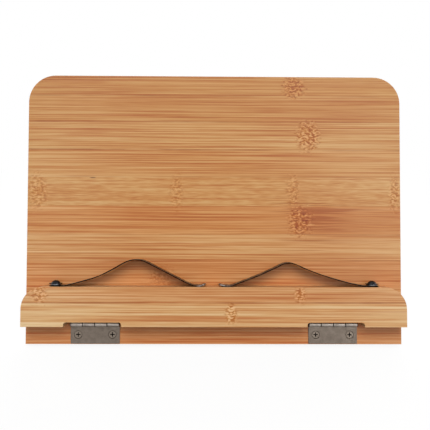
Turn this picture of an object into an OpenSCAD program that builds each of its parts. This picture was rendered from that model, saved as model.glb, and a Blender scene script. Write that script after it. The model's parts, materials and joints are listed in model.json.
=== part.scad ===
// Photo album stand in laminated bamboo: a back board that leans on a folding
// leg frame with a wire bail, and a hinged ledge with two sprung page clips.
// Origin: middle of the board's foot on the table, +Z up, front facing -Y.

/* [Back board] */
// board width, mm
board_w = 278.4; // [240:0.1:340]
// board height along its face, mm
board_h = 200; // [170:1:240]
// board thickness, mm
board_t = 12; // [9:0.5:15]
// radius of the two top corners, mm
board_corner_r = 20; // [8:1:35]
// lean of the board from upright, degrees
recline = 25; // [18:1:32]
// depth taken off the back bottom edge for a flat foot, mm
foot_cut = 0.5; // [0.3:0.1:1]

/* [Ledge] */
// depth of the ledge from its hinge edge to its free edge, mm
ledge_d = 28.7; // [22:0.1:40]
// distance of the ledge's hinge edge below the pin axis, mm
ledge_edge_drop = 0.4; // [0:0.1:0.6]
// thickness of the ledge, mm
ledge_t = 12; // [9:0.5:15]
// radius of the two free corners, mm
ledge_corner_r = 16; // [6:0.5:18]
// air left between the folded ledge and the board, mm
ledge_gap = 0.3; // [0.2:0.1:0.6]
// length of the notch round each hinge barrel, mm
notch_w = 41.6; // [38:0.2:46]
// depth of the notch from the hinge edge, mm
notch_d = 3.2; // [2.8:0.1:4]
// radius of the notch corners, mm
notch_r = 2; // [1:0.5:2.5]

/* [Hinges] */
// length of a hinge along its pin, mm
hinge_len = 36; // [30:1:40]
// knuckles in one hinge
knuckles = 4; // [4:2:6]
// width of a leaf from the pin axis to its edge, mm
leaf_w = 14.4; // [12:0.2:15]
// thickness of a leaf, mm
leaf_t = 1; // [0.8:0.1:1.2]
// outer radius of a knuckle, mm
knuckle_r = 1.7; // [1.6:0.05:2]
// radius of the hinge pin, mm
pin_r = 0.9; // [0.7:0.05:1]
// air between two neighbouring knuckles, mm
knuckle_gap = 0.2; // [0.1:0.05:0.3]
// distance of each front hinge's middle from the end of the board, mm
front_hinge_inset = 51.4; // [40:0.1:60]
// height of the front hinge axis above the bottom edge of the board, mm
front_axis_u = 15; // [15:0.5:20]
// distance of each rear hinge's middle from the side of the leg, mm
rear_hinge_inset = 23; // [21:1:32]
// distance between the two screws of a leaf, mm
leaf_screw_pitch = 25.2; // [20:0.2:28]
// distance of the leaf screws from the pin axis, mm
leaf_screw_d = 7.9; // [7:0.1:9]

/* [Screws] */
// radius of a countersunk head, mm
csk_r = 3; // [2.5:0.1:3.4]
// height of the head cone, mm
csk_h = 1.5; // [1.2:0.1:2]
// depth of a head's face below the leaf or wood round it, mm
head_sink = 0.45; // [0.1:0.05:0.6]
// length of a head's cross recess, mm
cross_l = 3.4; // [2.8:0.1:3.6]
// width of the cross recess, mm
cross_w = 0.8; // [0.5:0.1:1]
// depth of the cross recess, mm
cross_d = 0.6; // [0.4:0.05:0.7]
// length of a screw's pointed tip, mm
tip_l = 2; // [1:0.5:3]
// radius of the tip's end, mm
tip_r = 0.3; // [0.2:0.1:0.6]
// radius of the shank, mm
shank_r = 1.45; // [1.2:0.05:1.7]
// length of a hinge screw, mm
hinge_screw_l = 9; // [7:0.5:10]
// length of a cleat or rack screw, mm
rack_screw_l = 14; // [12:0.5:16]
// distance of each cleat screw from the middle, mm
cleat_screw_x = 6; // [4:1:12]
// distance of the rack screws from the ends of the rack, mm
rack_screw_inset = 4.8; // [4:0.2:6]
// air between a screw and its pilot hole, mm
pilot_air = 0.05; // [0.02:0.01:0.08]
// air between a turning piece and its pin or screw, mm
running_air = 0.05; // [0.03:0.01:0.1]

/* [Page clips] */
// distance of the left clip screw from the end of the ledge, mm
clip_left_inset = 23.5; // [18:0.1:32]
// distance of the right clip screw from the end of the ledge, mm
clip_right_inset = 23.7; // [18:0.1:32]
// distance of the left clip's tip from the middle of the ledge, mm
clip_left_tip = 6.3; // [2:0.1:12]
// distance of the right clip's tip from the middle of the ledge, mm
clip_right_tip = 3; // [2:0.1:12]
// width of the spring strip, mm
clip_w = 9.4; // [7:0.2:10]
// thickness of the spring strip, mm
clip_t = 0.7; // [0.6:0.1:1.2]
// radius of the clip screw's dome, mm
clip_head_r = 3.4; // [3:0.1:4]
// height of the clip screw's dome, mm
clip_head_h = 2.2; // [2:0.1:3]
// radius of the flange under the dome, mm
clip_flange_r = 4.7; // [4:0.1:5]
// thickness of the flange, mm
clip_flange_t = 0.6; // [0.4:0.1:1]
// length of the clip screw shank below its head, mm
clip_shank_l = 18; // [12:1:22]
// radius of the washer under the flange, mm
washer_r = 3.6; // [3:0.1:4.5]
// thickness of the washer, mm
washer_t = 0.7; // [0.5:0.1:1.2]
// air under and over the strip at its screw, mm
clip_air = 0.1; // [0.05:0.05:0.2]

/* [Leg frame] */
// height of the leg hinge axis up the board, mm
leg_axis_u = 165; // [150:1:175]
// opening angle of the leg from the board, degrees
leg_open = 50; // [44:1:56]
// overall width of the leg frame, mm
leg_w = 130; // [110:1:150]
// thickness of the leg rails, mm
leg_t = 10; // [8:0.5:12]
// width of a side rail, mm
side_rail_w = 18; // [14:1:22]
// height of the top rail, mm
top_rail_h = 20; // [17:1:24]
// height of the bottom rail, mm
bottom_rail_h = 20; // [16:1:24]
// height of the cleat above the leg, mm
cleat_h = 20; // [17:1:24]
// air between the folded leg and the board, mm
leg_gap = 0.3; // [0.2:0.1:0.6]
// distance of the cleat and of the leg from the rear hinge axis, mm
axis_clear = 1.5; // [1.2:0.1:2]

/* [Bail and rack] */
// radius of the bail wire, mm
wire_r = 2; // [1.5:0.25:2.5]
// length of a bail arm, and distance of its pivot down the leg, mm
bail_l = 62; // [50:1:66]
// distance of the arms from the middle, mm
bail_x = 41; // [34:0.5:42]
// bend radius at the pivot ends, mm
pivot_bend_r = 4; // [3:0.5:6]
// bend radius at the crossbar corners, mm
bar_bend_r = 8; // [5:0.5:12]
// depth of each pivot hole in its rail, mm
pivot_depth = 7; // [5:0.5:9]
// width of the rack, mm
rack_w = 40; // [28:1:56]
// lower grooves in the rack
grooves = 4; // [3:1:5]
// distance between neighbouring grooves, mm
groove_pitch = 8; // [7:0.5:9]
// air between the bail bar and the rack, mm
rack_air = 0.3; // [0.2:0.1:0.5]

/* [Hidden] */

$fn = 64;
// small overlap that keeps cuts clean
eps = 0.02;
// half size of the box that stands for the table in a cut
table = 400;

// the wood is honey bamboo, the fittings are grey metal
bamboo = [0.80, 0.61, 0.40];
bamboo_pale = [0.85, 0.68, 0.46];
hinge_grey = [0.50, 0.46, 0.42];
spring_steel = [0.20, 0.19, 0.19];
wire_steel = [0.62, 0.62, 0.62];

// distance of the pin axis from the wood face under a leaf
axis_off = knuckle_r + 0.3;
// front hinges and clip screws, left and right of the middle
front_hinge_x = board_w / 2 - front_hinge_inset;
clip_left_x = board_w / 2 - clip_left_inset;
clip_right_x = board_w / 2 - clip_right_inset;
// front hinge axis in the board's own frame
front_axis_y = -board_t - axis_off;
// rear hinges, either side of the middle
rear_hinge_x = leg_w / 2 - rear_hinge_inset;
// rear hinge axis in the board's own frame
cleat_t = leg_gap + leg_t;
rear_axis_y = cleat_t + axis_off;
// inner and outer faces of the folded ledge
ledge_y0 = -board_t - ledge_gap;
ledge_mid_y = ledge_y0 - ledge_t / 2;
ledge_low_u = front_axis_u - ledge_edge_drop;
ledge_top_u = ledge_low_u + ledge_d;

// the foot flat is centred on the origin
foot_y = foot_cut * (1 / tan(recline) - tan(recline)) / 2;

// height of the rear axis over the table, and the leg's slope from upright
axis_z = leg_axis_u * cos(recline) - rear_axis_y * sin(recline) - foot_cut;
leg_slope = leg_open - recline;
leg_spare = 2;
leg_len = axis_z / cos(leg_slope) + leg_spare;

// bail pivot and bar in the board's own frame, leg folded
wire_y = leg_gap + leg_t / 2;
pivot_u = leg_axis_u - bail_l;
folded_bar_u = leg_axis_u - 2 * bail_l;
// bar with the leg open
bar_u = leg_axis_u - 2 * bail_l * cos(leg_open) + (wire_y - rear_axis_y) * sin(leg_open);
bar_y = rear_axis_y + (wire_y - rear_axis_y) * cos(leg_open);
// rack lands, just under the path of the bar
land_low_y = wire_y - wire_r - rack_air;
land_high_y = bar_y - wire_r - rack_air - 0.1;
rack_low_u = folded_bar_u - 6;
rack_high_u = bar_u + 11;
rack_top_y = bar_y + 1.8;
seat_r = wire_r + rack_air;

knuckle_pitch = hinge_len / knuckles;
leaf_relief = knuckle_r + 0.4;

// the strip's height over the ledge edge, at distances from its screw
strip_low = clip_air + clip_t / 2;
strip_rest = 0.35 + clip_t / 2;
left_wave = [
    [-6, strip_low], [0, strip_low], [5.5, strip_low], [8, 0.75], [11, 1.35], [16, 2.7],
    [29.4, 6.6], [41.2, 12.2], [48.8, 16.6], [54.2, 18.8], [59.6, 19.3], [64.8, 18.3],
    [73.4, 14], [82.9, 9.2], [92.2, 4.4], [99.2, 1.2], [102, strip_rest],
    [105, strip_rest], [109.4, 1.9], [114, 3]
];
right_wave = [
    [-6, strip_low], [0, strip_low], [5.5, strip_low], [8, 0.8], [12, 1.6], [18, 2.9],
    [32.3, 6.9], [46.5, 11.9], [56.4, 16.2], [61.3, 17.3], [66.2, 16.4], [71, 13.9],
    [84, 8], [97, 3], [104.2, strip_rest], [112.5, 1.6], [118, 2.7]
];
wave_steps = 5;

module board_frame() {
    translate([0, foot_y, -foot_cut]) rotate([-recline, 0, 0]) children();
}

// folded leg pieces are drawn against the board, then swung open
module leg_frame() {
    board_frame()
        translate([0, rear_axis_y, leg_axis_u]) rotate([leg_open, 0, 0])
            translate([0, -rear_axis_y, -leg_axis_u]) children();
}

module bail_frame() {
    leg_frame()
        translate([0, wire_y, pivot_u]) rotate([-2 * leg_open, 0, 0])
            translate([0, -wire_y, -pivot_u]) children();
}

module below_table() {
    translate([-table, -table, -table]) cube([2 * table, 2 * table, table]);
}

// a flat piece standing in the board's plane, from y0 back by thickness t
module upright(y0, t) {
    translate([0, y0 + t, 0]) rotate([90, 0, 0]) linear_extrude(t) children();
}

// rectangle with its two upper corners rounded
module arched(w, h, r) {
    difference() {
        union() {
            translate([-w / 2, 0]) square([w, h - r]);
            translate([-w / 2 + r, 0]) square([w - 2 * r, h]);
            for (s = [-1, 1]) translate([s * (w / 2 - r), h - r]) circle(r, $fn = 96);
        }
        if (r > h / 2) translate([-w, -r]) square([2 * w, r]);
    }
}

// rectangle with every corner rounded
module rounded(w, h, r) {
    translate([-w / 2, -h / 2 + r]) square([w, h - 2 * r]);
    translate([-w / 2 + r, -h / 2]) square([w - 2 * r, h]);
    for (s = [-1, 1], t = [-1, 1])
        translate([s * (w / 2 - r), t * (h / 2 - r)]) circle(r);
}

// countersunk screw along -Z with its head face at z = 0
module screw_body(l, air = 0) {
    translate([0, 0, -csk_h])
        cylinder(csk_h, shank_r + air, csk_r + air);
    translate([0, 0, -l + tip_l - air])
        cylinder(l - tip_l + air - csk_h / 2, r = shank_r + air);
    translate([0, 0, -l - air]) cylinder(tip_l + eps, tip_r + air, shank_r + air);
    if (air > 0) translate([0, 0, -eps]) cylinder(2, r = csk_r + air);
}

module cross_recess() {
    for (a = [0, 90]) rotate([0, 0, a])
        translate([-cross_l / 2, -cross_w / 2, -cross_d]) cube([cross_l, cross_w, 2 * cross_d]);
    translate([0, 0, -cross_d - cross_w / 2]) cylinder(cross_d + cross_w, cross_w / 3, cross_w);
}

module screw(l) {
    difference() {
        screw_body(l);
        translate([0, 0, -head_sink]) {
            cross_recess();
            cylinder(head_sink + 1, r = csk_r + 1);
        }
    }
}

// the two screw places of a leaf; the leaf lies on +Z, its pin along X
module leaf_screws() {
    for (s = [-1, 1]) translate([s * leaf_screw_pitch / 2, 0, leaf_screw_d]) children();
}

// One leaf of a butt hinge. Pin axis on X, leaf running up +Z, its back face at
// y = back. head_side is +1 or -1: the side of the leaf the screw heads are on.
// own is 0 or 1 and picks every other knuckle.
module hinge_leaf(own, back, head_side) {
    front = back > 0 ? back - leaf_t : back;
    difference() {
        union() {
            translate([-hinge_len / 2, front, leaf_relief])
                cube([hinge_len, leaf_t, leaf_w - leaf_relief]);
            for (i = [own : 2 : knuckles - 1]) {
                x0 = -hinge_len / 2 + i * knuckle_pitch + (i == 0 ? 0 : knuckle_gap / 2);
                x1 = -hinge_len / 2 + (i + 1) * knuckle_pitch
                     - (i == knuckles - 1 ? 0 : knuckle_gap / 2);
                translate([x0, 0, 0]) rotate([0, 90, 0]) cylinder(x1 - x0, r = knuckle_r);
                translate([x0, front, 0]) cube([x1 - x0, leaf_t, leaf_relief + eps]);
            }
        }
        translate([-hinge_len / 2 - 1, 0, 0]) rotate([0, 90, 0])
            cylinder(hinge_len + 2, r = pin_r + running_air);
        leaf_screws() translate([0, head_side > 0 ? front + leaf_t : front, 0])
            rotate([-90 * head_side, 0, 0]) screw_body(hinge_screw_l, pilot_air);
    }
}

module hinge_pin() {
    translate([-hinge_len / 2, 0, 0]) rotate([0, 90, 0]) cylinder(hinge_len, r = pin_r);
}

// places: the front hinge axis, with the board's leaf hanging and the ledge's standing
module at_front_hinge(s) {
    board_frame() translate([s * front_hinge_x, front_axis_y, front_axis_u]) children();
}
module hang() { mirror([0, 0, 1]) children(); }

module front_board_leaf(s) {
    at_front_hinge(s) hang() hinge_leaf(0, axis_off, -1);
}
module front_ledge_leaf(s) {
    at_front_hinge(s) hinge_leaf(1, axis_off - ledge_gap, 1);
}
// screws of the board's leaf point back, screws of the ledge's leaf point forward
module front_board_screw_places() {
    for (s = [-1, 1]) translate([s * front_hinge_x, front_axis_y, front_axis_u])
        hang() leaf_screws() translate([0, axis_off - leaf_t, 0])
            rotate([90, 0, 0]) children();
}
module front_ledge_screw_places() {
    for (s = [-1, 1]) translate([s * front_hinge_x, front_axis_y, front_axis_u])
        leaf_screws() translate([0, axis_off - ledge_gap, 0])
            rotate([-90, 0, 0]) children();
}
module rear_cleat_screw_places() {
    for (s = [-1, 1]) translate([s * rear_hinge_x, rear_axis_y, leg_axis_u])
        leaf_screws() translate([0, leaf_t - axis_off, 0])
            rotate([-90, 0, 0]) children();
}
module rear_leg_screw_places() {
    for (s = [-1, 1]) translate([s * rear_hinge_x, rear_axis_y, leg_axis_u])
        hang() leaf_screws() translate([0, leaf_t - axis_off, 0])
            rotate([-90, 0, 0]) children();
}
module cleat_rack_screw_places() {
    for (s = [-1, 1])
        translate([s * cleat_screw_x, cleat_t, leg_axis_u + axis_clear + cleat_h / 2])
            rotate([-90, 0, 0]) children();
    translate([0, land_low_y, rack_low_u + rack_screw_inset]) rotate([-90, 0, 0]) children();
    translate([0, rack_top_y, rack_high_u - rack_screw_inset]) rotate([-90, 0, 0]) children();
}

module back_board() {
    color(bamboo)
    difference() {
        board_frame() difference() {
            upright(-board_t, board_t) arched(board_w, board_h, board_corner_r);
            front_board_screw_places() screw_body(hinge_screw_l, pilot_air);
            cleat_rack_screw_places() screw_body(rack_screw_l, pilot_air);
        }
        below_table();
    }
}

module leg_cleat() {
    color(bamboo)
    board_frame() difference() {
        translate([-leg_w / 2, 0, leg_axis_u + axis_clear]) cube([leg_w, cleat_t, cleat_h]);
        rear_cleat_screw_places() screw_body(hinge_screw_l, pilot_air);
        cleat_rack_screw_places() screw_body(rack_screw_l, pilot_air);
    }
}

// side view of the rack, drawn up the board in x and out from it in y
module rack_side() {
    slope_u0 = folded_bar_u + 4;
    slope_u1 = bar_u - 3;
    difference() {
        polygon([
            [rack_low_u, 0], [rack_high_u, 0], [rack_high_u, rack_top_y],
            [bar_u, rack_top_y], [bar_u, land_high_y],
            [slope_u1, land_high_y], [slope_u0, land_low_y], [rack_low_u, land_low_y]
        ]);
        translate([bar_u, bar_y]) circle(seat_r);
        for (i = [1 : grooves]) {
            groove_u = bar_u - i * groove_pitch;
            up = (groove_u - slope_u0) / (slope_u1 - slope_u0);
            translate([groove_u, land_low_y + up * (land_high_y - land_low_y) + 0.1])
                circle(seat_r);
        }
    }
}

module angle_rack() {
    color(bamboo_pale)
    board_frame() difference() {
        translate([-rack_w / 2, 0, 0]) rotate([90, 0, 90]) linear_extrude(rack_w)
            mirror([1, -1]) rack_side();
        cleat_rack_screw_places() screw_body(rack_screw_l, pilot_air);
    }
}

module cleat_rack_screws() {
    color(hinge_grey)
    board_frame() cleat_rack_screw_places() screw(rack_screw_l);
}

module front_hinge_left_board_leaf() { color(hinge_grey) front_board_leaf(-1); }
module front_hinge_right_board_leaf() { color(hinge_grey) front_board_leaf(1); }
module front_hinge_left_ledge_leaf() { color(hinge_grey) front_ledge_leaf(-1); }
module front_hinge_right_ledge_leaf() { color(hinge_grey) front_ledge_leaf(1); }
module front_hinge_left_pin() { color(hinge_grey) at_front_hinge(-1) hinge_pin(); }
module front_hinge_right_pin() { color(hinge_grey) at_front_hinge(1) hinge_pin(); }

module front_hinge_board_screws() {
    color(hinge_grey) board_frame() front_board_screw_places() screw(hinge_screw_l);
}
module front_hinge_ledge_screws() {
    color(hinge_grey) board_frame() front_ledge_screw_places() screw(hinge_screw_l);
}

module rear_cleat_leaf(s) {
    board_frame() translate([s * rear_hinge_x, rear_axis_y, leg_axis_u])
        hinge_leaf(0, -axis_off, 1);
}
module rear_leg_leaf(s) {
    leg_frame() translate([s * rear_hinge_x, rear_axis_y, leg_axis_u])
        hang() hinge_leaf(1, -axis_off, 1);
}
module rear_pin(s) {
    board_frame() translate([s * rear_hinge_x, rear_axis_y, leg_axis_u]) hinge_pin();
}
module rear_hinge_left_cleat_leaf() { color(hinge_grey) rear_cleat_leaf(-1); }
module rear_hinge_right_cleat_leaf() { color(hinge_grey) rear_cleat_leaf(1); }
module rear_hinge_left_leg_leaf() { color(hinge_grey) rear_leg_leaf(-1); }
module rear_hinge_right_leg_leaf() { color(hinge_grey) rear_leg_leaf(1); }
module rear_hinge_left_pin() { color(hinge_grey) rear_pin(-1); }
module rear_hinge_right_pin() { color(hinge_grey) rear_pin(1); }
module rear_hinge_cleat_screws() {
    color(hinge_grey) board_frame() rear_cleat_screw_places() screw(hinge_screw_l);
}
module rear_hinge_leg_screws() {
    color(hinge_grey) leg_frame() rear_leg_screw_places() screw(hinge_screw_l);
}

// clip screw axis, at the height of the ledge's free edge, pointing up the board
module at_clip(x) {
    board_frame() translate([x, ledge_mid_y, ledge_top_u]) children();
}

module clip_shank(air = 0) {
    translate([0, 0, -clip_shank_l + tip_l - air])
        cylinder(clip_shank_l - tip_l + air + 2 * clip_air + clip_t + washer_t + eps,
                 r = shank_r + air);
    translate([0, 0, -clip_shank_l - air]) cylinder(tip_l + eps, tip_r + air, shank_r + air);
}

module ledge() {
    color(bamboo_pale)
    difference() {
        board_frame() difference() {
            translate([0, 0, ledge_low_u]) upright(ledge_y0 - ledge_t, ledge_t)
                arched(board_w, ledge_d, ledge_corner_r);
            for (s = [-1, 1]) {
                translate([s * front_hinge_x, 0, ledge_low_u])
                    upright(ledge_y0 - ledge_t - 1, ledge_t + 2)
                        rounded(notch_w, 2 * notch_d, notch_r);
                translate([s * front_hinge_x - hinge_len / 2 - pilot_air,
                           ledge_y0 - leaf_t - pilot_air, front_axis_u])
                    cube([hinge_len + 2 * pilot_air, leaf_t + 1, leaf_w + pilot_air]);
            }
            front_ledge_screw_places() screw_body(hinge_screw_l, pilot_air);
        }
        at_clip(-clip_left_x) clip_shank(pilot_air);
        at_clip(clip_right_x) clip_shank(pilot_air);
    }
}

// clip screw with a flange, a dome head and a cross recess
module clip_screw() {
    flange_z = 2 * clip_air + clip_t + washer_t;
    head_z = flange_z + clip_flange_t;
    dome_r = (clip_head_r * clip_head_r + clip_head_h * clip_head_h) / (2 * clip_head_h);
    difference() {
        union() {
            clip_shank();
            translate([0, 0, flange_z]) cylinder(clip_flange_t + eps, r = clip_flange_r);
            translate([0, 0, head_z]) intersection() {
                cylinder(clip_head_h, r = clip_head_r);
                translate([0, 0, clip_head_h - dome_r]) sphere(dome_r);
            }
        }
        translate([0, 0, head_z + clip_head_h]) cross_recess();
    }
}

module clip_washer() {
    translate([0, 0, 2 * clip_air + clip_t]) difference() {
        cylinder(washer_t, r = washer_r);
        translate([0, 0, -1]) cylinder(washer_t + 2, r = shank_r + pilot_air);
    }
}

// smooth curve through the points, and its offset to either side
function blend4(a, b, c, d, t) =
    0.5 * (2 * b + (c - a) * t + (2 * a - 5 * b + 4 * c - d) * t * t
           + (3 * b - a - 3 * c + d) * t * t * t);
function curve(p) = concat(
    [for (i = [1 : len(p) - 3], k = [0 : wave_steps - 1])
        blend4(p[i - 1], p[i], p[i + 1], p[i + 2], k / wave_steps)],
    [p[len(p) - 2]]);
function side_of(c, off) = [for (i = [0 : len(c) - 1])
    let (d = c[min(i + 1, len(c) - 1)] - c[max(i - 1, 0)])
    c[i] + off * [-d[1], d[0]] / norm(d)];
function reversed(v) = [for (i = [len(v) - 1 : -1 : 0]) v[i]];

// wave-shaped spring strip running along +X from its screw, stretched to its reach
module clip(wave, reach) {
    wave_reach = wave[len(wave) - 2][0];
    line = [for (p = curve(wave)) [p[0] * reach / wave_reach, p[1]]];
    tip = line[len(line) - 1];
    corner = clip_w / 4;
    difference() {
        union() {
            translate([0, 0, clip_air]) cylinder(clip_t, r = clip_w / 2);
            translate([0, clip_w / 2, 0]) rotate([90, 0, 0]) linear_extrude(clip_w)
                polygon(concat(side_of(line, clip_t / 2), reversed(side_of(line, -clip_t / 2))));
        }
        translate([0, 0, clip_air - 1]) cylinder(clip_t + 2, r = shank_r + running_air);
        for (s = [-1, 1])
            translate([tip[0] - corner, s * (clip_w / 2 - corner), tip[1] - corner])
                linear_extrude(2 * corner) difference() {
                    translate([0, s > 0 ? 0 : -2 * corner]) square([2 * corner, 2 * corner]);
                    circle(corner);
                }
    }
}

module clip_left() {
    color(spring_steel) at_clip(-clip_left_x) clip(left_wave, clip_left_x - clip_left_tip);
}
module clip_right() {
    color(spring_steel) at_clip(clip_right_x) mirror([1, 0, 0])
        clip(right_wave, clip_right_x - clip_right_tip);
}
module clip_left_screw() { color(hinge_grey) at_clip(-clip_left_x) clip_screw(); }
module clip_right_screw() { color(hinge_grey) at_clip(clip_right_x) clip_screw(); }
module clip_left_washer() { color(hinge_grey) at_clip(-clip_left_x) clip_washer(); }
module clip_right_washer() { color(hinge_grey) at_clip(clip_right_x) clip_washer(); }

// a rail of the leg, from s0 to s1 down the leg and from x0 to x1 across it
module rail(x0, x1, s0, s1) {
    translate([x0, leg_gap, leg_axis_u - s1]) cube([x1 - x0, leg_t, s1 - s0]);
}

module leg_side_rail(s) {
    inner = leg_w / 2 - side_rail_w;
    difference() {
        leg_frame() difference() {
            if (s < 0) rail(-leg_w / 2, -inner, axis_clear, leg_len);
            else rail(inner, leg_w / 2, axis_clear, leg_len);
            translate([s * (inner - 1), wire_y, pivot_u]) rotate([0, s * 90, 0])
                cylinder(pivot_depth + 1, r = wire_r + running_air);
            rear_leg_screw_places() screw_body(hinge_screw_l, pilot_air);
        }
        below_table();
    }
}
module leg_left_rail() { color(bamboo) leg_side_rail(-1); }
module leg_right_rail() { color(bamboo) leg_side_rail(1); }

module leg_top_rail() {
    inner = leg_w / 2 - side_rail_w;
    color(bamboo)
    leg_frame() difference() {
        rail(-inner, inner, axis_clear, axis_clear + top_rail_h);
        rear_leg_screw_places() screw_body(hinge_screw_l, pilot_air);
    }
}

module leg_bottom_rail() {
    inner = leg_w / 2 - side_rail_w;
    color(bamboo)
    difference() {
        leg_frame() rail(-inner, inner, leg_len - leg_spare - bottom_rail_h, leg_len);
        below_table();
    }
}

// quarter bend of wire from +X round to -Z, centred on the bend's own middle
module wire_bend(r) {
    rotate([90, 0, 0]) rotate_extrude(angle = 90) translate([r, 0]) circle(wire_r, $fn = 32);
}

module prop_bail() {
    stub_end = leg_w / 2 - side_rail_w + pivot_depth - 0.5;
    arm_top = pivot_u - pivot_bend_r;
    arm_low = folded_bar_u + bar_bend_r;
    color(wire_steel)
    bail_frame() translate([0, wire_y, 0]) {
        for (s = [0, 1]) mirror([s, 0, 0]) {
            translate([bail_x + pivot_bend_r, 0, pivot_u]) rotate([0, 90, 0])
                cylinder(stub_end - bail_x - pivot_bend_r, r = wire_r, $fn = 32);
            translate([bail_x + pivot_bend_r, 0, arm_top]) rotate([0, -90, 0])
                wire_bend(pivot_bend_r);
            translate([bail_x, 0, arm_low]) cylinder(arm_top - arm_low, r = wire_r, $fn = 32);
            translate([bail_x - bar_bend_r, 0, arm_low]) rotate([0, 90, 0])
                wire_bend(bar_bend_r);
        }
        translate([bar_bend_r - bail_x, 0, folded_bar_u]) rotate([0, 90, 0])
            cylinder(2 * (bail_x - bar_bend_r), r = wire_r, $fn = 32);
    }
}

back_board();
leg_cleat();
angle_rack();
cleat_rack_screws();
front_hinge_left_board_leaf();
front_hinge_right_board_leaf();
front_hinge_left_pin();
front_hinge_right_pin();
front_hinge_board_screws();
rear_hinge_left_cleat_leaf();
rear_hinge_right_cleat_leaf();
rear_hinge_left_pin();
rear_hinge_right_pin();
rear_hinge_cleat_screws();
ledge();
front_hinge_left_ledge_leaf();
front_hinge_right_ledge_leaf();
front_hinge_ledge_screws();
clip_left();
clip_right();
clip_left_screw();
clip_right_screw();
clip_left_washer();
clip_right_washer();
leg_left_rail();
leg_right_rail();
leg_top_rail();
leg_bottom_rail();
rear_hinge_left_leg_leaf();
rear_hinge_right_leg_leaf();
rear_hinge_leg_screws();
prop_bail();
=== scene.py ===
"""Photo album stand in laminated bamboo: finishes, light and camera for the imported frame."""
import json
import math
from collections import namedtuple

import bpy
from mathutils import Matrix, Vector

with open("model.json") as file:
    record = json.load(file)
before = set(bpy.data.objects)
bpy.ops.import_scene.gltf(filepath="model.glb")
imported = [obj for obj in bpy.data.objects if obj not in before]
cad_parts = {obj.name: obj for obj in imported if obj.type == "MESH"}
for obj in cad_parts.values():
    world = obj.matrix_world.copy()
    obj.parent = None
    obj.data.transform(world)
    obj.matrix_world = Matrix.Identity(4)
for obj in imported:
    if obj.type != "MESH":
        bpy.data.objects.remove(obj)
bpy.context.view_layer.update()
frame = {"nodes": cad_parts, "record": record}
nodes = frame["nodes"]
MM = 0.001

# ---------------------------------------------------------------- sizes, the same as in the CAD
RECLINE = math.radians(25)          # lean of the board from upright
BOARD_H = 200 * MM                  # board height along its face
BOARD_T = 12 * MM                   # board thickness
FOOT_CUT = 0.5 * MM                 # height that the flat under the board cuts off its back edge
LEG_OPEN = math.radians(50)         # opening of the leg from the board
LEDGE_GAP = 0.3 * MM                # air between the folded ledge and the board
CLEAT_BACK = 22.3 * MM              # depth of the cleat's back face behind the board's front
HEAD_SINK = 0.45 * MM               # depth of a screw head's face below its leaf
HEAD_OVER = 0.55 * MM               # height of a screw head's face over the wood under its leaf
FRONT_HINGE_X = 87.8 * MM           # from the middle of the stand to the middle of a hinge,
REAR_HINGE_X = 42 * MM              # where the seam of its two middle knuckles lies
KNUCKLE_PITCH = 9 * MM              # from there to the next seam

FOOT_Y = FOOT_CUT * (1 / math.tan(RECLINE) - math.tan(RECLINE)) / 2
BOARD_FOOT = Vector((0, FOOT_Y, -FOOT_CUT))      # back bottom edge of the board, before its cut
joints = {j["name"]: j for j in frame["record"]["behaviour"]["joints"]}
LEG_AXIS = Vector(joints["leg_fold"]["pos_m"])
LEDGE_AXIS = Vector(joints["ledge_fold"]["pos_m"])

RIGHT = Vector((1, 0, 0))
UP_BOARD = Vector((0, math.sin(RECLINE), math.cos(RECLINE)))
OUT_FRONT = Vector((0, -math.cos(RECLINE), math.sin(RECLINE)))
FRONT_FOOT = BOARD_FOOT + OUT_FRONT * BOARD_T    # front bottom edge of the board


def srgb(r, g, b):
    """A colour given as 0 to 255 screen values, as linear RGBA."""
    def lin(v):
        v /= 255
        return v / 12.92 if v <= 0.04045 else ((v + 0.055) / 1.055) ** 2.4
    return (lin(r), lin(g), lin(b), 1.0)


WHITE = (1.0, 1.0, 1.0, 1.0)


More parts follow.
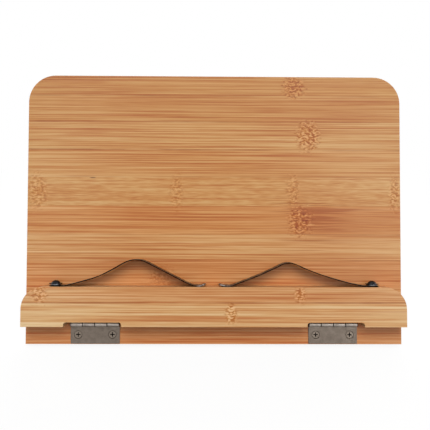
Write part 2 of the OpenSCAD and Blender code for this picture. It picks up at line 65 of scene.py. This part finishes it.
# ---------------------------------------------------------------- a short way to write node trees
class Tree:
    """Adds shader nodes; every method returns an output socket."""

    def __init__(self, name):
        self.mat = bpy.data.materials.new(name)
        self.mat.use_nodes = True
        self.t = self.mat.node_tree
        self.t.nodes.clear()
        self.coord = self.t.nodes.new("ShaderNodeTexCoord").outputs["Object"]

    def put(self, node, key, value):
        if value is None:
            return
        if isinstance(value, bpy.types.NodeSocket):
            self.t.links.new(value, node.inputs[key])
        else:
            node.inputs[key].default_value = value

    def math(self, op, a, b=None, c=None):
        n = self.t.nodes.new("ShaderNodeMath")
        n.operation = op
        for i, v in enumerate((a, b, c)):
            self.put(n, i, v)
        return n.outputs[0]

    def vec(self, op, a, b=None):
        n = self.t.nodes.new("ShaderNodeVectorMath")
        n.operation = op
        for i, v in enumerate((a, b)):
            self.put(n, i, v)
        return n.outputs[1 if op in ("LENGTH", "DOT_PRODUCT") else 0]

    def turn_x(self, vector, angle):
        n = self.t.nodes.new("ShaderNodeVectorRotate")
        n.rotation_type = "X_AXIS"
        self.put(n, "Vector", vector)
        n.inputs["Angle"].default_value = angle
        return n.outputs[0]

    def split(self, vector):
        n = self.t.nodes.new("ShaderNodeSeparateXYZ")
        self.put(n, 0, vector)
        return n.outputs[0], n.outputs[1], n.outputs[2]

    def join(self, x, y, z):
        n = self.t.nodes.new("ShaderNodeCombineXYZ")
        for i, v in enumerate((x, y, z)):
            self.put(n, i, v)
        return n.outputs[0]

    def noise(self, vector, scale=1.0, detail=2.0, rough=0.5):
        n = self.t.nodes.new("ShaderNodeTexNoise")
        self.put(n, "Vector", vector)
        n.inputs["Scale"].default_value = scale
        n.inputs["Detail"].default_value = detail
        n.inputs["Roughness"].default_value = rough
        return n.outputs[0]

    def span(self, value, lo, hi, to_lo=0.0, to_hi=1.0, smooth=False):
        n = self.t.nodes.new("ShaderNodeMapRange")
        n.interpolation_type = "SMOOTHSTEP" if smooth else "LINEAR"
        for i, v in enumerate((value, lo, hi, to_lo, to_hi)):
            self.put(n, i, v)
        return n.outputs[0]

    def mix(self, factor, a, b, blend="MIX"):
        n = self.t.nodes.new("ShaderNodeMix")
        n.data_type, n.blend_type = "RGBA", blend
        self.put(n, 0, factor)
        self.put(n, 6, a)
        self.put(n, 7, b)
        return n.outputs[2]

    def ramp(self, value, stops, mode="LINEAR"):
        n = self.t.nodes.new("ShaderNodeValToRGB")
        r = n.color_ramp
        r.interpolation = mode
        while len(r.elements) > 1:
            r.elements.remove(r.elements[-1])
        r.elements[0].position, r.elements[0].color = stops[0]
        for pos, col in stops[1:]:
            r.elements.new(pos).color = col
        self.put(n, 0, value)
        return n.outputs[0]

    def bump(self, height, strength, distance, normal=None):
        n = self.t.nodes.new("ShaderNodeBump")
        n.inputs["Strength"].default_value = strength
        n.inputs["Distance"].default_value = distance
        self.put(n, "Height", height)
        self.put(n, "Normal", normal)
        return n.outputs[0]

    def surface(self, **inputs):
        n = self.t.nodes.new("ShaderNodeBsdfPrincipled")
        for key, value in inputs.items():
            self.put(n, key.replace("_", " "), value)
        out = self.t.nodes.new("ShaderNodeOutputMaterial")
        self.t.links.new(n.outputs[0], out.inputs[0])
        return self.mat


# ---------------------------------------------------------------- bamboo
PALE = srgb(218, 170, 110)
HONEY = srgb(208, 153, 91)
AMBER = srgb(198, 134, 71)
RUSSET = srgb(184, 110, 53)
RUST = srgb(166, 86, 36)
FLECK = srgb(96, 52, 26)
# the tone of the grain, from pale to dark, and of the curled fibres of a grown node
GRAIN_TONES = [(0.22, PALE), (0.42, HONEY), (0.56, AMBER), (0.72, RUSSET), (0.95, RUST)]
NODE_TONES = [(0.12, srgb(222, 166, 104)), (0.40, srgb(200, 134, 66)),
              (0.58, srgb(184, 106, 36)), (0.84, srgb(156, 74, 8))]
MIDDLE_TONE = 0.5
STAINED = (0.70, 0.44, 0.24, 1.0)     # what a stain leaves of the colour beside a node
GLUE_LINE = (0.58, 0.38, 0.28, 1.0)   # what the line between two strips leaves of the colour
GLUE_HALF = 0.45 * MM                 # half its width
GLUE_WANDER = 0.25                    # share of the fibres' wander that it follows
PLY_HALF, PLY_STRENGTH = 0.22 * MM, 0.55         # the lines between plies, seen on the edges

# A layer of the grain is noise drawn out along the fibres: its features per metre along and
# across them, a shift that keeps it apart from the other layers, its detail and roughness, and
# its weight in the tone. RED's weight is how much of the russet it lays on.
Layer = namedtuple("Layer", "along across shift detail rough weight")
BANDS = Layer(7.0, 48.0, 1.7, 2.0, 0.55, 0.42)        # broad soft bands
LINES = Layer(7.0, 740.0, 7.3, 2.0, 0.60, 0.40)       # the streaks seen at arm's length
FINE = Layer(9.0, 1050.0, 11.9, 1.0, 0.55, 1.22)      # thinner streaks between them
HAIR = Layer(60.0, 2600.0, 17.1, 1.0, 0.55, 0.35)     # single fibres
RED = Layer(16.0, 480.0, 23.1, 1.0, 0.55, 0.50)       # a few reddish streaks
TICK = Layer(110.0, 1300.0, 29.3, 1.0, 0.55, 0.55)    # short strokes, where the grain is short
CURLS = Layer(400.0, 640.0, 37.7, 1.0, 0.55, 3.2)     # curled fibres of a grown node
CURLS_TONE = 0.47                     # middle tone of the curled fibres
RED_EDGE = (0.13, 0.24)               # noise at which a reddish streak starts, and is full
CALM = 0.50                           # share of the common grain that short grain keeps

# noise by features per metre along and across, with how much it moves what it acts on
DRIFT, DRIFT_BY = (6.0, 25.0), 1.0 * MM          # the fibres wander
BEND, BEND_BY = (230.0, 130.0), 4.5 * MM         # and bend as they pass a node
RAGGED, RAGGED_BY = (210.0, 760.0), 1.3          # the border of a node, in half sizes
FAINT, FAINT_EDGE, FAINT_LEAST = (30.0, 9.0), (0.38, 0.6), 0.2   # where glue lines are faint
NODE_EDGE = (1.15, 0.40)              # half sizes from a node's middle: where it starts, is full
STAIN_EDGE = (1.05, 0.25)             # the same for a stain,
STAIN_LINES, STAIN_FINE = 5.0, 7.0    # and how far the streaks move its border
FLECK_SIZE = (3.2 * MM, 0.55 * MM)    # half length and half height of a dark fleck
FLECK_EDGE, FLECK_STRENGTH = (1.0, 0.3), 0.85
SHEEN_LEFT = (-60 * MM, -125 * MM)     # x where the painted sheen starts, and where it is full
SHEEN_RIGHT, SHEEN_RIGHT_SHARE = (95 * MM, 137 * MM), 0.75
LINES_RANGE = (-0.2, 0.2)             # the noise of the palest and the darkest streaks,
COAT_ROUGH = (0.33, 0.41)             # and the roughness of the clear coat over them
COAT_SPECULAR = 0.28
LINES_BUMP = (0.25, 0.08 * MM)        # strength and height of the relief
HAIR_BUMP = (0.15, 0.03 * MM)


def bamboo(name, origin, tilt, upright=False, strips=(), marks=(), stains=(), layers=(), flecks=(),
           end_sheen=None, short_grain=None, contrast=1.0, seed=0.0):
    """Laminated bamboo. origin and tilt give the piece's own axes: x across the stand, z up the
    piece, y through it. Grain runs along x, or along z if upright.
    strips: (height where a strip starts, its tint).
    marks: (x, z, half width, half height, strength) of the grown nodes.
    stains: the same for the dark stains beside them.
    layers: depths of the glue lines between the plies.
    flecks: (x, z) of small dark flecks.
    end_sheen: a paler, greyer colour painted towards the piece's two ends, a painted sheen of side
    light on the coat.
    short_grain: a band of heights with shorter fibres."""
    t = Tree(name)
    x, y, z = t.split(t.turn_x(t.vec("SUBTRACT", t.coord, tuple(origin)), tilt))
    along, across = (z, x) if upright else (x, z)

    def patches(a, b, size, shift, detail):
        return t.noise(t.join(t.math("MULTIPLY", a, size[0]), t.math("MULTIPLY", b, size[1]),
                              shift), detail=detail)

    def centred(value, amount):
        return t.math("MULTIPLY", t.math("SUBTRACT", value, 0.5), amount)

    def oval(middle, half_size):
        """0 in the middle of an ellipse on the piece's face, 1 on its rim."""
        d = t.vec("SUBTRACT", t.join(x, z, 0.0), (*middle, 0.0))
        return t.vec("LENGTH", t.vec("MULTIPLY", d, (1 / half_size[0], 1 / half_size[1], 0.0)))

    # grown nodes: soft oval masks with a ragged border
    ragged = centred(patches(x, z, RAGGED, seed, 1.0), RAGGED_BY)
    knot = None
    for mx, mz, half_w, half_h, power in marks:
        d = t.math("ADD", oval((mx, mz), (half_w, half_h)), ragged)
        m = t.span(d, *NODE_EDGE, 0.0, power, smooth=True)
        knot = m if knot is None else t.math("MAXIMUM", knot, m)

    # the fibres wander a little, and dip and rise as they pass a node
    wander = centred(patches(along, across, DRIFT, seed, 1.0), DRIFT_BY)
    if knot is not None:
        bend = centred(patches(along, across, BEND, seed + 3.0, 0.0), BEND_BY)
        wander = t.math("ADD", wander, t.math("MULTIPLY", bend, knot))
    across_w = t.math("ADD", across, wander)

    def fibres(layer):
        v = t.join(t.math("MULTIPLY", along, layer.along),
                   t.math("MULTIPLY", across_w, layer.across),
                   t.math("MULTIPLY_ADD", y, layer.across, layer.shift + seed))
        return t.math("SUBTRACT", t.noise(v, detail=layer.detail, rough=layer.rough), 0.5)

    bands, lines, fine, hair = fibres(BANDS), fibres(LINES), fibres(FINE), fibres(HAIR)
    tone = t.math("MULTIPLY_ADD", bands, BANDS.weight * contrast, MIDDLE_TONE)
    tone = t.math("MULTIPLY_ADD", lines, LINES.weight * contrast, tone)
    tone = t.math("MULTIPLY_ADD", fine, FINE.weight * contrast, tone)
    tone = t.math("MULTIPLY_ADD", hair, HAIR.weight * contrast, tone)
    if short_grain:
        lo, hi = short_grain
        inside = t.math("MULTIPLY", t.math("GREATER_THAN", across_w, lo),
                        t.math("LESS_THAN", across_w, hi))
        calm = t.math("MULTIPLY_ADD", t.math("SUBTRACT", tone, MIDDLE_TONE), CALM, MIDDLE_TONE)
        calm = t.math("MULTIPLY_ADD", fibres(TICK), TICK.weight * contrast, calm)
        tone = t.span(inside, 0.0, 1.0, tone, calm)
    colour = t.ramp(tone, GRAIN_TONES)
    colour = t.mix(t.span(fibres(RED), *RED_EDGE, 0.0, RED.weight), colour, RUSSET)
    if knot is not None:
        curled = t.math("MULTIPLY_ADD", fibres(CURLS), CURLS.weight, CURLS_TONE)
        colour = t.mix(knot, colour, t.ramp(curled, NODE_TONES))
    for sx, sz, half_w, half_h, power in stains:
        d = t.math("MULTIPLY_ADD", fine, STAIN_FINE, oval((sx, sz), (half_w, half_h)))
        d = t.math("MULTIPLY_ADD", lines, STAIN_LINES, d)
        colour = t.mix(t.span(d, *STAIN_EDGE, 0.0, power), colour, STAINED, blend="MULTIPLY")

    # tint of each strip, and a darker glue line where two strips meet
    if strips:
        height = t.math("DIVIDE", t.math("ADD", z, t.math("MULTIPLY", wander, GLUE_WANDER)),
                        BOARD_H)
        stops = [(low / BOARD_H, colour_of_strip) for low, colour_of_strip in strips]
        colour = t.mix(1.0, colour, t.ramp(height, stops, mode="CONSTANT"), blend="MULTIPLY")
        gap = GLUE_HALF / BOARD_H
        dips = [(0.0, WHITE)]
        for low, _ in strips[1:]:
            at = low / BOARD_H
            dips += [(at - gap, WHITE), (at, GLUE_LINE), (at + gap, WHITE)]
        joint = t.ramp(height, dips)
        clear = t.span(patches(x, z, FAINT, seed, 2.0), *FAINT_EDGE, FAINT_LEAST, 1.0)
        colour = t.mix(clear, colour, joint, blend="MULTIPLY")
    # painted sheen: the colour turns paler and greyer towards the piece's two ends
    if end_sheen:
        ends = t.math("MAXIMUM", t.span(x, *SHEEN_LEFT),
                      t.span(x, *SHEEN_RIGHT, 0.0, SHEEN_RIGHT_SHARE))
        colour = t.mix(ends, colour, end_sheen, blend="MULTIPLY")
    for depth in layers:
        off = t.math("ABSOLUTE", t.math("SUBTRACT", y, depth))
        colour = t.mix(t.span(off, 0.0, PLY_HALF, PLY_STRENGTH, 0.0), colour, RUST)
    for fleck in flecks:
        dark = t.span(oval(fleck, FLECK_SIZE), *FLECK_EDGE, 0.0, FLECK_STRENGTH, smooth=True)
        colour = t.mix(dark, colour, FLECK)

    grain = t.bump(hair, *HAIR_BUMP, t.bump(lines, *LINES_BUMP))
    return t.surface(Base_Color=colour, Roughness=t.span(lines, *LINES_RANGE, *COAT_ROUGH),
                     Specular_IOR_Level=COAT_SPECULAR, Normal=grain)


def tint(r, g, b):
    """A strip's colour as a share of the common bamboo colour."""
    mine, common = srgb(r, g, b), srgb(200, 146, 95)
    return tuple(m / c for m, c in zip(mine[:3], common[:3])) + (1.0,)


# the two top strips are tinted darker, partly as painted shade that evens out the key lamp's
# stronger light at the top of the board
BOARD_STRIPS = [
    (0.0, tint(198, 133, 90)), (21 * MM, tint(196, 139, 92)),
    (41 * MM, tint(194, 130, 83)), (61.5 * MM, tint(201, 147, 101)),
    (81 * MM, tint(198, 138, 89)), (102 * MM, tint(199, 148, 100)),
    (124 * MM, tint(195, 140, 91)), (144.5 * MM, tint(196, 145, 97)),
    (165.5 * MM, tint(188, 131, 80)), (185 * MM, tint(188, 132, 80)),
]
# the ledge's strips are tinted paler and bluer than the board's, partly as a painted sheen
LEDGE_STRIPS = [
    (0.0, tint(212, 169, 130)), (32 * MM, tint(204, 151, 110)),
]
SHORT_STRIP = (102 * MM, 124 * MM)    # the board's strip with short grain
# grown nodes of the bamboo: x, height, half width, half height, strength
BOARD_MARKS = [
    (59 * MM, 192 * MM, 10 * MM, 9.5 * MM, 0.95), (70 * MM, 155 * MM, 10 * MM, 13 * MM, 0.95),
    (-132 * MM, 113 * MM, 8.5 * MM, 15 * MM, 0.55), (-28.5 * MM, 113 * MM, 6 * MM, 15 * MM, 0.5),
    (58.5 * MM, 113 * MM, 6 * MM, 15 * MM, 0.55), (135 * MM, 112 * MM, 5 * MM, 15 * MM, 0.7),
    (64 * MM, 91 * MM, 10.5 * MM, 13 * MM, 0.9), (-39 * MM, 48 * MM, 12 * MM, 10 * MM, 0.45),
]
# stains, given the same way
BOARD_STAINS = [
    (77 * MM, 92 * MM, 15 * MM, 11 * MM, 0.9), (94 * MM, 89 * MM, 30 * MM, 10 * MM, 0.5),
]
LEDGE_MARKS = [
    (-126 * MM, 38 * MM, 7 * MM, 8 * MM, 0.7), (62 * MM, 38 * MM, 5 * MM, 7 * MM, 0.8),
    (12 * MM, 23.7 * MM, 5 * MM, 9 * MM, 0.8),
]
CLEAT_MARKS = [(-30 * MM, 176 * MM, 6 * MM, 9 * MM, 0.8)]
RAIL_MARKS = [                        # heights on the leg count from its hinge
    (-56 * MM, -95 * MM, 9 * MM, 6 * MM, 0.8), (56 * MM, -52 * MM, 9 * MM, 6 * MM, 0.8),
]
CROSS_MARKS = [(18 * MM, -12 * MM, 6 * MM, 9 * MM, 0.8)]
LEG_TILT = -RECLINE                   # the leg leans as far back as the board, the other way

board_wood = bamboo("bamboo_board", BOARD_FOOT, RECLINE, strips=BOARD_STRIPS, marks=BOARD_MARKS,
                    stains=BOARD_STAINS, layers=(-4 * MM, -8 * MM),
                    flecks=[(-91 * MM, 123.3 * MM)], end_sheen=(1.03, 1.09, 1.17, 1.0),
                    short_grain=SHORT_STRIP, contrast=0.93, seed=2.0)
ledge_wood = bamboo("bamboo_ledge", BOARD_FOOT, RECLINE, strips=LEDGE_STRIPS, marks=LEDGE_MARKS,
                    layers=(-16.3 * MM, -20.3 * MM), end_sheen=(1.06, 1.15, 1.24, 1.0),
                    contrast=0.8, seed=9.0)
cleat_wood = bamboo("bamboo_cleat", BOARD_FOOT, RECLINE, marks=CLEAT_MARKS, seed=14.0)
leg_long_wood = bamboo("bamboo_leg_long", LEG_AXIS, LEG_TILT, upright=True, marks=RAIL_MARKS,
                       seed=21.0)
leg_cross_wood = bamboo("bamboo_leg_cross", LEG_AXIS, LEG_TILT, marks=CROSS_MARKS, seed=27.0)


# ---------------------------------------------------------------- metals
GAP_SHADE = srgb(26, 22, 19)              # painted shade in the seams between knuckles and in the screw heads' recesses
BARRELS = ((LEDGE_AXIS, FRONT_HINGE_X), (LEG_AXIS, REAR_HINGE_X))
CLOUD_EDGE = (0.35, 0.68)             # noise at which a stain starts, and is full
SPECK_EDGE = (0.62, 0.75)             # the same for the specks,
SPECK_FINER, SPECK_STRENGTH = 9, 0.5  # how much finer they are, and how dark
BRUSH_EDGE, BRUSH_STRENGTH = (0.4, 0.7), 0.25
POLISH_EDGE = (1.95 * MM, 1.6 * MM)   # distance from a hinge's axis where the polish fades in
POLISH_RAGGED = 0.6 * MM
SEAM_EDGE = (0.50 * MM, 0.20 * MM)    # half width of the painted shade in the seam between two knuckles
SEAM_REACH = (2.1 * MM, 1.8 * MM)     # distance from the axis where it starts
TIP_EDGE = (18 * MM, 9 * MM)          # distance from the middle of the stand where a tip turns pale, partly bare steel and partly a painted glint
TIP_PATCHES, TIP_SHARE, TIP_STRENGTH = (0.35, 0.6), (0.30, 0.8), 0.60
RECESS_EDGE = (-0.08 * MM, -0.2 * MM)    # height over a head's face where the painted shade in a recess starts
WORN_RANGE, SMOOTHER, ROUGHER = (0.3, 0.7), 0.06, 0.08    # how far stains change the roughness
METAL_BUMP = (0.12, 0.03 * MM)


def metal(name, colour, dark, rough, grain=260.0, stain=0.5, brush=None, rubbed=None, face=None,
          tip_wear_and_glint=None):
    """Worn plated metal: cloudy stains, fine specks and, if brush is set, a lengthwise brushing.
    rubbed: the colour of the hinge barrels, where hands have polished the plate; the seams between
    their knuckles get painted shade.
    face: a point on the screw heads' face and its outward direction; the recesses cut below it get
    painted shade.
    tip_wear_and_glint: the pale colour of the clips' tips near the middle of the stand, partly
    steel rubbed bare by the pages and partly a painted glint."""
    t = Tree(name)
    cloud = t.noise(t.coord, scale=grain, detail=5.0, rough=0.65)
    speck = t.noise(t.coord, scale=grain * SPECK_FINER, detail=2.0)
    shade = t.mix(t.span(cloud, *CLOUD_EDGE, 0.0, stain), colour, dark)
    shade = t.mix(t.span(speck, *SPECK_EDGE, 0.0, SPECK_STRENGTH), shade, dark)
    height = speck
    if brush:
        height = t.noise(t.vec("MULTIPLY", t.coord, brush), detail=2.0)
        shade = t.mix(t.span(height, *BRUSH_EDGE, 0.0, BRUSH_STRENGTH), shade, dark)
    if rubbed:
        across = t.math("ABSOLUTE", t.split(t.coord)[0])
        for axis, seam_x in BARRELS:
            off = t.vec("MULTIPLY", t.vec("SUBTRACT", t.coord, tuple(axis)), (0.0, 1.0, 1.0))
            off = t.vec("LENGTH", off)
            near = t.math("MULTIPLY_ADD", t.math("SUBTRACT", cloud, 0.5), POLISH_RAGGED, off)
            shade = t.mix(t.span(near, *POLISH_EDGE), shade, rubbed)
            # painted shade in the seams between two knuckles
            seam = t.math("PINGPONG", t.math("SUBTRACT", across, seam_x), KNUCKLE_PITCH / 2)
            seam_shade = t.math("MULTIPLY", t.span(seam, *SEAM_EDGE), t.span(off, *SEAM_REACH))
            shade = t.mix(seam_shade, shade, GAP_SHADE)
    if tip_wear_and_glint:
        # partly wear, partly a painted glint: the clips' tips turn pale near the middle of the
        # stand
        inward = t.span(t.math("ABSOLUTE", t.split(t.coord)[0]), *TIP_EDGE)
        wear_and_glint = t.math("MULTIPLY", inward, t.span(cloud, *TIP_PATCHES))
        shade = t.mix(t.span(wear_and_glint, *TIP_SHARE, 0.0, TIP_STRENGTH), shade, tip_wear_and_glint)
    if face:
        point, out = face
        over = t.vec("DOT_PRODUCT", t.vec("SUBTRACT", t.coord, tuple(point)), tuple(out))
        # painted shade in the recesses cut below the screw heads' face
        shade = t.mix(t.span(over, *RECESS_EDGE), shade, GAP_SHADE)
    worn = t.span(cloud, *WORN_RANGE, rough - SMOOTHER, rough + ROUGHER)
    return t.surface(Base_Color=shade, Metallic=1.0, Roughness=worn,
                     Normal=t.bump(height, *METAL_BUMP))


def screws(name, face=None):
    return metal(name, srgb(122, 111, 100), srgb(70, 61, 53), 0.32, face=face)


hinge_metal = metal("antique_nickel", srgb(108, 98, 89), srgb(74, 65, 57), 0.40,
                    rubbed=srgb(176, 167, 158))
plain_screw = screws("antique_nickel_screw")
# the screws of each kind of leaf, with a point on their heads' faces and the way these face
leg_turn = Matrix.Rotation(LEG_OPEN, 3, "X")
REAR_FACE = FRONT_FOOT - OUT_FRONT * CLEAT_BACK - OUT_FRONT * HEAD_OVER
SCREWS = {
    "front_hinge_board_screws": screws("screw_front_board", (
        FRONT_FOOT + OUT_FRONT * HEAD_OVER, OUT_FRONT)),
    "front_hinge_ledge_screws": screws("screw_front_ledge", (
        FRONT_FOOT + OUT_FRONT * (LEDGE_GAP + HEAD_SINK), -OUT_FRONT)),
    "rear_hinge_cleat_screws": screws("screw_rear_cleat", (REAR_FACE, -OUT_FRONT)),
    "rear_hinge_leg_screws": screws("screw_rear_leg", (
        LEG_AXIS + leg_turn @ (REAR_FACE - LEG_AXIS), leg_turn @ -OUT_FRONT)),
}
clip_screw_metal = metal("dark_screw", srgb(52, 52, 55), srgb(14, 14, 15), 0.17,
                         grain=700.0, stain=0.9)
washer_metal = metal("zinc_washer", srgb(150, 152, 156), srgb(96, 98, 102), 0.30)
spring_metal = metal("blued_spring_steel", srgb(20, 15, 13), srgb(10, 7, 7), 0.30,
                     brush=(300.0, 4000.0, 4000.0), tip_wear_and_glint=srgb(176, 172, 168))
wire_metal = metal("drawn_wire", srgb(196, 196, 194), srgb(140, 139, 137), 0.24,
                   brush=(200.0, 2500.0, 2500.0))

FINISH = {
    "back_board": board_wood, "ledge": ledge_wood, "leg_cleat": cleat_wood,
    "angle_rack": cleat_wood, "leg_left_rail": leg_long_wood, "leg_right_rail": leg_long_wood,
    "leg_top_rail": leg_cross_wood, "leg_bottom_rail": leg_cross_wood,
    "clip_left": spring_metal, "clip_right": spring_metal, "prop_bail": wire_metal,
}


def finish_of(node):
    if node in FINISH:
        return FINISH[node]
    if node.startswith("clip_"):
        return washer_metal if node.endswith("washer") else clip_screw_metal
    if node.endswith("screws"):
        return SCREWS.get(node, plain_screw)
    return hinge_metal


# every node gets its finish; wood, leaves, clips and their screws also get rounded edges
WOOD_EDGE = 0.9 * MM
METAL_EDGE = 0.15 * MM
WELD_GAP = 0.002 * MM
FLAT_WITHIN = math.radians(0.5)       # faces closer than this count as one flat face
SHARP_FROM = math.radians(50)         # edges sharper than this are rounded
for name, obj in nodes.items():
    material = finish_of(name)
    for slot in obj.material_slots:
        slot.material = material
    wood = material.name.startswith("bamboo")
    if wood or "leaf" in name or name.startswith(("clip_left", "clip_right")):
        weld = obj.modifiers.new("weld", "WELD")
        weld.merge_threshold = WELD_GAP
        flat = obj.modifiers.new("flat", "DECIMATE")
        flat.decimate_type = "DISSOLVE"
        flat.angle_limit = FLAT_WITHIN
        edge = obj.modifiers.new("edge", "BEVEL")
        edge.width = WOOD_EDGE if wood else METAL_EDGE
        edge.segments = 3
        edge.limit_method = "ANGLE"
        edge.angle_limit = SHARP_FROM
        edge.harden_normals = True

# ---------------------------------------------------------------- camera, at the photograph's angle
CAMERA_AT = (-4.6 * MM, 82.4 * MM, 403.3 * MM)   # right, up and out from the board's front foot
CAMERA_TURN = tuple(math.radians(a) for a in (0.69, -1.89, -0.18))   # yaw, pitch, roll
SENSOR, LENS = 36.0, 45.25            # mm
CLIP_NEAR, CLIP_FAR = 0.01, 20.0

cam_data = bpy.data.cameras.new("camera")
cam_data.sensor_width, cam_data.lens = SENSOR, LENS
cam_data.clip_start, cam_data.clip_end = CLIP_NEAR, CLIP_FAR
camera = bpy.data.objects.new("camera", cam_data)
bpy.context.scene.collection.objects.link(camera)
board_axes = Matrix((RIGHT, UP_BOARD, OUT_FRONT)).transposed()
yaw, pitch, roll = CAMERA_TURN
turn = (Matrix.Rotation(roll, 3, "Z") @ Matrix.Rotation(pitch, 3, "X")
        @ Matrix.Rotation(yaw, 3, "Y"))
camera_place = FRONT_FOOT + board_axes @ Vector(CAMERA_AT)
camera.matrix_world = (Matrix.Translation(camera_place)
                       @ (board_axes @ turn.transposed()).to_4x4())
bpy.context.scene.camera = camera

# ---------------------------------------------------------------- floor, world and lamps
FLOOR = 3.0                           # half the floor's side
FLOOR_SEEN = (0.95, 0.95, 0.95, 1.0)
FLOOR_LIT = (0.20, 0.20, 0.20, 1.0)   # the floor as the object's surfaces are lit by it
GLOW_FROM, GLOW_TO = 0.22, 0.50       # distance from the object where the floor turns plain white
GLOW_NEAR = 0.92                      # share of plain white near the object; the rest is shaded
AMBIENT = 0.03                        # light of the white surroundings on the object


def seen_directly(tree):
    """1 for camera, glossy and transmission rays, 0 for the light that falls on the object."""
    n = tree.nodes.new("ShaderNodeLightPath")
    total = None
    for key in ("Is Camera Ray", "Is Glossy Ray", "Is Transmission Ray"):
        if total is None:
            total = n.outputs[key]
            continue
        m = tree.nodes.new("ShaderNodeMath")
        m.operation, m.use_clamp = "ADD", True
        tree.links.new(total, m.inputs[0])
        tree.links.new(n.outputs[key], m.inputs[1])
        total = m.outputs[0]
    return total


floor_mesh = bpy.data.meshes.new("floor")
floor_mesh.from_pydata([(-FLOOR, -FLOOR, 0), (FLOOR, -FLOOR, 0), (FLOOR, FLOOR, 0),
                        (-FLOOR, FLOOR, 0)], [], [(0, 1, 2, 3)])
floor = bpy.data.objects.new("floor", floor_mesh)
bpy.context.scene.collection.objects.link(floor)
floor_mat = bpy.data.materials.new("floor")
floor_mat.use_nodes = True
ft = floor_mat.node_tree
ft.nodes.clear()


def floor_shader(kind, colour):
    n = ft.nodes.new(kind)
    n.inputs["Color"].default_value = colour
    return n.outputs[0]


def floor_mix(factor, a, b):
    n = ft.nodes.new("ShaderNodeMixShader")
    for key, value in enumerate((factor, a, b)):
        ft.links.new(value, n.inputs[key])
    return n.outputs[0]


# near the object the floor keeps some of its shading, so that the shadow shows
away = ft.nodes.new("ShaderNodeVectorMath")
away.operation = "LENGTH"
ft.links.new(ft.nodes.new("ShaderNodeTexCoord").outputs["Object"], away.inputs[0])
glow = ft.nodes.new("ShaderNodeMapRange")
glow.interpolation_type = "SMOOTHSTEP"
ft.links.new(away.outputs[1], glow.inputs[0])
for key, value in enumerate((GLOW_FROM, GLOW_TO, GLOW_NEAR, 1.0), 1):
    glow.inputs[key].default_value = value
seen = floor_mix(glow.outputs[0], floor_shader("ShaderNodeBsdfDiffuse", FLOOR_SEEN),
                 floor_shader("ShaderNodeEmission", WHITE))
unseen = floor_shader("ShaderNodeBsdfDiffuse", FLOOR_LIT)
ft.links.new(floor_mix(seen_directly(ft), unseen, seen),
             ft.nodes.new("ShaderNodeOutputMaterial").inputs[0])
floor_mesh.materials.append(floor_mat)

world = bpy.data.worlds.new("studio")
bpy.context.scene.world = world
world.use_nodes = True
wt = world.node_tree
wt.nodes.clear()
sky = wt.nodes.new("ShaderNodeBackground")
sky.inputs["Color"].default_value = WHITE
level = wt.nodes.new("ShaderNodeMapRange")
wt.links.new(seen_directly(wt), level.inputs[0])
level.inputs[3].default_value, level.inputs[4].default_value = AMBIENT, 1.0
wt.links.new(level.outputs[0], sky.inputs["Strength"])
wt.links.new(sky.outputs[0], wt.nodes.new("ShaderNodeOutputWorld").inputs[0])

# soft lamps, all aimed at the middle of the object: name, place, width and height, watts
LAMPS_AIM = Vector((0.0, 0.03, 0.09))
LAMPS = [
    ("key", (0.0, -1.50, 2.69), (2.6, 1.35), 67.0),
    ("side_left", (-0.68, -1.50, 1.00), (0.4, 1.0), 4.2),
    ("side_right", (0.68, -1.50, 1.00), (0.4, 1.0), 7.2),
    ("back", (0.2, 1.3, 1.0), (1.4, 0.8), 16.0),
    ("rim_left", (-1.4, 0.9, 0.6), (0.8, 0.8), 9.0),
    ("rim_right", (1.4, 0.9, 0.6), (0.8, 0.8), 9.0),
]
for name, at, size, watts in LAMPS:
    data = bpy.data.lights.new(name, "AREA")
    data.shape = "RECTANGLE"
    data.size, data.size_y = size
    data.energy = watts
    lamp = bpy.data.objects.new(name, data)
    bpy.context.scene.collection.objects.link(lamp)
    lamp.location = at
    lamp.rotation_euler = (LAMPS_AIM - Vector(at)).to_track_quat("-Z", "Y").to_euler()

bpy.context.scene.view_settings.view_transform = "Standard"
